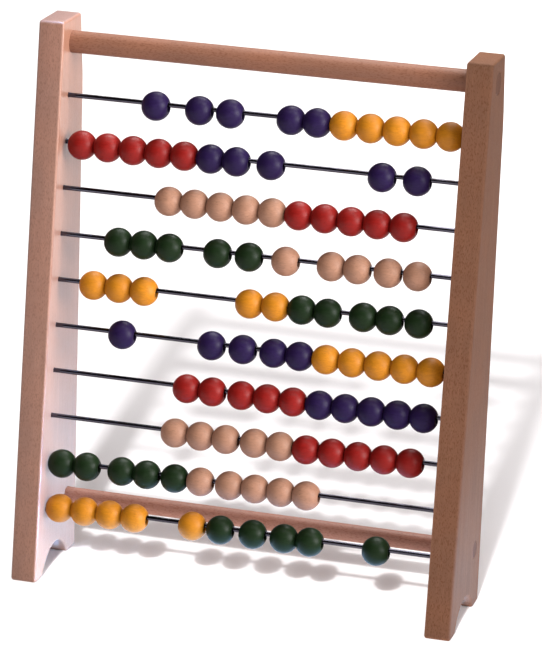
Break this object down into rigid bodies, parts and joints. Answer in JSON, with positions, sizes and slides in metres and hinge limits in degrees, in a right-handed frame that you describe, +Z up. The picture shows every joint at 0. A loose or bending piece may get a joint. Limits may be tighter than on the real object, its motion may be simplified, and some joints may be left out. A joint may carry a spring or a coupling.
{
  "type": "abacus",
  "caption": "Upright wooden counting frame: two tapering side panels joined by round bars, with rows of coloured wooden beads that slide on steel rods.",
  "frame": {"origin": "on the table, at the middle of the frame's width and of its depth at the feet", "axes": "+X along the rods to the right as seen from the front, +Y to the back, +Z up"},
  "size_m": [0.312, 0.083, 0.387],
  "materials": {
    "beech_wood": "fine sanded beech with a thin clear coat",
    "polished_steel": "polished steel wire",
    "violet_bead": "stained and lacquered wood, semi-matt",
    "yellow_bead": "stained and lacquered wood, semi-matt",
    "red_bead": "stained and lacquered wood, semi-matt",
    "green_bead": "stained and lacquered wood, semi-matt",
    "natural_bead": "clear lacquered beech, semi-matt"
  },
  "bodies": {
    "frame": {"left_side_panel": "beech_wood", "right_side_panel": "beech_wood", "top_bar": "beech_wood", "lower_rail": "beech_wood", "rod_1": "polished_steel", "rod_2": "polished_steel", "rod_3": "polished_steel", "rod_4": "polished_steel", "rod_5": "polished_steel", "rod_6": "polished_steel", "rod_7": "polished_steel", "rod_8": "polished_steel", "rod_9": "polished_steel", "rod_10": "polished_steel"},
    "row_1_bead_1_slider": {"row_1_bead_1": "violet_bead"},
    "row_1_bead_2_slider": {"row_1_bead_2": "violet_bead"},
    "row_1_bead_3_slider": {"row_1_bead_3": "violet_bead"},
    "row_1_beads_4_to_10_slider": {"row_1_beads_4_to_5": "violet_bead", "row_1_beads_6_to_10": "yellow_bead"},
    "row_2_beads_1_to_5_slider": {"row_2_beads_1_to_5": "red_bead"},
    "row_2_beads_6_to_7_slider": {"row_2_beads_6_to_7": "violet_bead"},
    "row_2_bead_8_slider": {"row_2_bead_8": "violet_bead"},
    "row_2_bead_9_slider": {"row_2_bead_9": "violet_bead"},
    "row_2_bead_10_slider": {"row_2_bead_10": "violet_bead"},
    "row_3_beads_1_to_5_slider": {"row_3_beads_1_to_5": "natural_bead"},
    "row_3_beads_6_to_10_slider": {"row_3_beads_6_to_10": "red_bead"},
    "row_4_beads_1_to_3_slider": {"row_4_beads_1_to_3": "green_bead"},
    "row_4_bead_4_slider": {"row_4_bead_4": "green_bead"},
    "row_4_bead_5_slider": {"row_4_bead_5": "green_bead"},
    "row_4_bead_6_slider": {"row_4_bead_6": "natural_bead"},
    "row_4_beads_7_to_8_slider": {"row_4_beads_7_to_8": "natural_bead"},
    "row_4_bead_9_slider": {"row_4_bead_9": "natural_bead"},
    "row_4_bead_10_slider": {"row_4_bead_10": "natural_bead"},
    "row_5_beads_1_to_3_slider": {"row_5_beads_1_to_3": "yellow_bead"},
    "row_5_beads_4_to_5_slider": {"row_5_beads_4_to_5": "yellow_bead"},
    "row_5_beads_6_to_7_slider": {"row_5_beads_6_to_7": "green_bead"},
    "row_5_beads_8_to_9_slider": {"row_5_beads_8_to_9": "green_bead"},
    "row_5_bead_10_slider": {"row_5_bead_10": "green_bead"},
    "row_6_bead_1_slider": {"row_6_bead_1": "violet_bead"},
    "row_6_bead_2_slider": {"row_6_bead_2": "violet_bead"},
    "row_6_bead_3_slider": {"row_6_bead_3": "violet_bead"},
    "row_6_beads_4_to_5_slider": {"row_6_beads_4_to_5": "violet_bead"},
    "row_6_beads_6_to_10_slider": {"row_6_beads_6_to_10": "yellow_bead"},
    "row_7_beads_1_to_2_slider": {"row_7_beads_1_to_2": "red_bead"},
    "row_7_beads_3_to_5_slider": {"row_7_beads_3_to_5": "red_bead"},
    "row_7_beads_6_to_10_slider": {"row_7_beads_6_to_10": "violet_bead"},
    "row_8_beads_1_to_3_slider": {"row_8_beads_1_to_3": "natural_bead"},
    "row_8_beads_4_to_5_slider": {"row_8_beads_4_to_5": "natural_bead"},
    "row_8_beads_6_to_10_slider": {"row_8_beads_6_to_10": "red_bead"},
    "row_9_beads_1_to_2_slider": {"row_9_beads_1_to_2": "green_bead"},
    "row_9_beads_3_to_4_slider": {"row_9_beads_3_to_4": "green_bead"},
    "row_9_bead_5_slider": {"row_9_bead_5": "green_bead"},
    "row_9_bead_6_slider": {"row_9_bead_6": "natural_bead"},
    "row_9_beads_7_to_10_slider": {"row_9_beads_7_to_10": "natural_bead"},
    "row_10_beads_1_to_4_slider": {"row_10_beads_1_to_4": "yellow_bead"},
    "row_10_bead_5_slider": {"row_10_bead_5": "yellow_bead"},
    "row_10_bead_6_slider": {"row_10_bead_6": "green_bead"},
    "row_10_bead_7_slider": {"row_10_bead_7": "green_bead"},
    "row_10_beads_8_to_9_slider": {"row_10_beads_8_to_9": "green_bead"},
    "row_10_bead_10_slider": {"row_10_bead_10": "green_bead"}
  },
  "joints": [
    {"name": "row_1_bead_1_slide", "type": "slide", "parent": "frame", "child": "row_1_bead_1_slider", "axis": [1, 0, 0], "range_m": [-0.0527, 0.0122]},
    {"name": "row_1_bead_2_slide", "type": "slide", "parent": "frame", "child": "row_1_bead_2_slider", "axis": [1, 0, 0], "range_m": [-0.0122, 0.0032]},
    {"name": "row_1_bead_3_slide", "type": "slide", "parent": "frame", "child": "row_1_bead_3_slider", "axis": [1, 0, 0], "range_m": [-0.0032, 0.0237]},
    {"name": "row_1_beads_4_to_10_slide", "type": "slide", "parent": "frame", "child": "row_1_beads_4_to_10_slider", "axis": [1, 0, 0], "range_m": [-0.0237, 0.0014]},
    {"name": "row_2_beads_1_to_5_slide", "type": "slide", "parent": "frame", "child": "row_2_beads_1_to_5_slider", "axis": [1, 0, 0], "range_m": [-0.0022, 0]},
    {"name": "row_2_beads_6_to_7_slide", "type": "slide", "parent": "frame", "child": "row_2_beads_6_to_7_slider", "axis": [1, 0, 0], "range_m": [0, 0.0057]},
    {"name": "row_2_bead_8_slide", "type": "slide", "parent": "frame", "child": "row_2_bead_8_slider", "axis": [1, 0, 0], "range_m": [-0.0057, 0.0582]},
    {"name": "row_2_bead_9_slide", "type": "slide", "parent": "frame", "child": "row_2_bead_9_slider", "axis": [1, 0, 0], "range_m": [-0.0582, 0.0057]},
    {"name": "row_2_bead_10_slide", "type": "slide", "parent": "frame", "child": "row_2_bead_10_slider", "axis": [1, 0, 0], "range_m": [-0.0057, 0.0214]},
    {"name": "row_3_beads_1_to_5_slide", "type": "slide", "parent": "frame", "child": "row_3_beads_1_to_5_slider", "axis": [1, 0, 0], "range_m": [-0.0657, 0]},
    {"name": "row_3_beads_6_to_10_slide", "type": "slide", "parent": "frame", "child": "row_3_beads_6_to_10_slider", "axis": [1, 0, 0], "range_m": [0, 0.0284]},
    {"name": "row_4_beads_1_to_3_slide", "type": "slide", "parent": "frame", "child": "row_4_beads_1_to_3_slider", "axis": [1, 0, 0], "range_m": [-0.0317, 0.0157]},
    {"name": "row_4_bead_4_slide", "type": "slide", "parent": "frame", "child": "row_4_bead_4_slider", "axis": [1, 0, 0], "range_m": [-0.0157, 0.0037]},
    {"name": "row_4_bead_5_slide", "type": "slide", "parent": "frame", "child": "row_4_bead_5_slider", "axis": [1, 0, 0], "range_m": [-0.0037, 0.0072]},
    {"name": "row_4_bead_6_slide", "type": "slide", "parent": "frame", "child": "row_4_bead_6_slider", "axis": [1, 0, 0], "range_m": [-0.0072, 0.0132]},
    {"name": "row_4_beads_7_to_8_slide", "type": "slide", "parent": "frame", "child": "row_4_beads_7_to_8_slider", "axis": [1, 0, 0], "range_m": [-0.0132, 0.0027]},
    {"name": "row_4_bead_9_slide", "type": "slide", "parent": "frame", "child": "row_4_bead_9_slider", "axis": [1, 0, 0], "range_m": [-0.0027, 0.0017]},
    {"name": "row_4_bead_10_slide", "type": "slide", "parent": "frame", "child": "row_4_bead_10_slider", "axis": [1, 0, 0], "range_m": [-0.0017, 0.0167]},
    {"name": "row_5_beads_1_to_3_slide", "type": "slide", "parent": "frame", "child": "row_5_beads_1_to_3_slider", "axis": [1, 0, 0], "range_m": [-0.0157, 0.0562]},
    {"name": "row_5_beads_4_to_5_slide", "type": "slide", "parent": "frame", "child": "row_5_beads_4_to_5_slider", "axis": [1, 0, 0], "range_m": [-0.0562, 0]},
    {"name": "row_5_beads_6_to_7_slide", "type": "slide", "parent": "frame", "child": "row_5_beads_6_to_7_slider", "axis": [1, 0, 0], "range_m": [0, 0.0062]},
    {"name": "row_5_beads_8_to_9_slide", "type": "slide", "parent": "frame", "child": "row_5_beads_8_to_9_slider", "axis": [1, 0, 0], "range_m": [-0.0062, 0.0017]},
    {"name": "row_5_bead_10_slide", "type": "slide", "parent": "frame", "child": "row_5_bead_10_slider", "axis": [1, 0, 0], "range_m": [-0.0017, 0.0134]},
    {"name": "row_6_bead_1_slide", "type": "slide", "parent": "frame", "child": "row_6_bead_1_slider", "axis": [1, 0, 0], "range_m": [-0.0382, 0.0452]},
    {"name": "row_6_bead_2_slide", "type": "slide", "parent": "frame", "child": "row_6_bead_2_slider", "axis": [1, 0, 0], "range_m": [-0.0452, 0.0037]},
    {"name": "row_6_bead_3_slide", "type": "slide", "parent": "frame", "child": "row_6_bead_3_slider", "axis": [1, 0, 0], "range_m": [-0.0037, 0.0032]},
    {"name": "row_6_beads_4_to_5_slide", "type": "slide", "parent": "frame", "child": "row_6_beads_4_to_5_slider", "axis": [1, 0, 0], "range_m": [-0.0032, 0]},
    {"name": "row_6_beads_6_to_10_slide", "type": "slide", "parent": "frame", "child": "row_6_beads_6_to_10_slider", "axis": [1, 0, 0], "range_m": [0, 0.0029]},
    {"name": "row_7_beads_1_to_2_slide", "type": "slide", "parent": "frame", "child": "row_7_beads_1_to_2_slider", "axis": [1, 0, 0], "range_m": [-0.0862, 0.0022]},
    {"name": "row_7_beads_3_to_5_slide", "type": "slide", "parent": "frame", "child": "row_7_beads_3_to_5_slider", "axis": [1, 0, 0], "range_m": [-0.0022, 0]},
    {"name": "row_7_beads_6_to_10_slide", "type": "slide", "parent": "frame", "child": "row_7_beads_6_to_10_slider", "axis": [1, 0, 0], "range_m": [0, 0.0054]},
    {"name": "row_8_beads_1_to_3_slide", "type": "slide", "parent": "frame", "child": "row_8_beads_1_to_3_slider", "axis": [1, 0, 0], "range_m": [-0.0797, 0.0017]},
    {"name": "row_8_beads_4_to_5_slide", "type": "slide", "parent": "frame", "child": "row_8_beads_4_to_5_slider", "axis": [1, 0, 0], "range_m": [-0.0017, 0]},
    {"name": "row_8_beads_6_to_10_slide", "type": "slide", "parent": "frame", "child": "row_8_beads_6_to_10_slider", "axis": [1, 0, 0], "range_m": [0, 0.0124]},
    {"name": "row_9_beads_1_to_2_slide", "type": "slide", "parent": "frame", "child": "row_9_beads_1_to_2_slider", "axis": [1, 0, 0], "range_m": [0, 0.0067]},
    {"name": "row_9_beads_3_to_4_slide", "type": "slide", "parent": "frame", "child": "row_9_beads_3_to_4_slider", "axis": [1, 0, 0], "range_m": [-0.0067, 0.0017]},
    {"name": "row_9_bead_5_slide", "type": "slide", "parent": "frame", "child": "row_9_bead_5_slider", "axis": [1, 0, 0], "range_m": [-0.0017, 0]},
    {"name": "row_9_bead_6_slide", "type": "slide", "parent": "frame", "child": "row_9_bead_6_slider", "axis": [1, 0, 0], "range_m": [0, 0.0022]},
    {"name": "row_9_beads_7_to_10_slide", "type": "slide", "parent": "frame", "child": "row_9_beads_7_to_10_slider", "axis": [1, 0, 0], "range_m": [-0.0022, 0.0826]},
    {"name": "row_10_beads_1_to_4_slide", "type": "slide", "parent": "frame", "child": "row_10_beads_1_to_4_slider", "axis": [1, 0, 0], "range_m": [0, 0.0232]},
    {"name": "row_10_bead_5_slide", "type": "slide", "parent": "frame", "child": "row_10_bead_5_slider", "axis": [1, 0, 0], "range_m": [-0.0232, 0.0017]},
    {"name": "row_10_bead_6_slide", "type": "slide", "parent": "frame", "child": "row_10_bead_6_slider", "axis": [1, 0, 0], "range_m": [-0.0017, 0.0047]},
    {"name": "row_10_bead_7_slide", "type": "slide", "parent": "frame", "child": "row_10_bead_7_slider", "axis": [1, 0, 0], "range_m": [-0.0047, 0.0037]},
    {"name": "row_10_beads_8_to_9_slide", "type": "slide", "parent": "frame", "child": "row_10_beads_8_to_9_slider", "axis": [1, 0, 0], "range_m": [-0.0037, 0.0282]},
    {"name": "row_10_bead_10_slide", "type": "slide", "parent": "frame", "child": "row_10_bead_10_slider", "axis": [1, 0, 0], "range_m": [-0.0282, 0.0314]}
  ]
}
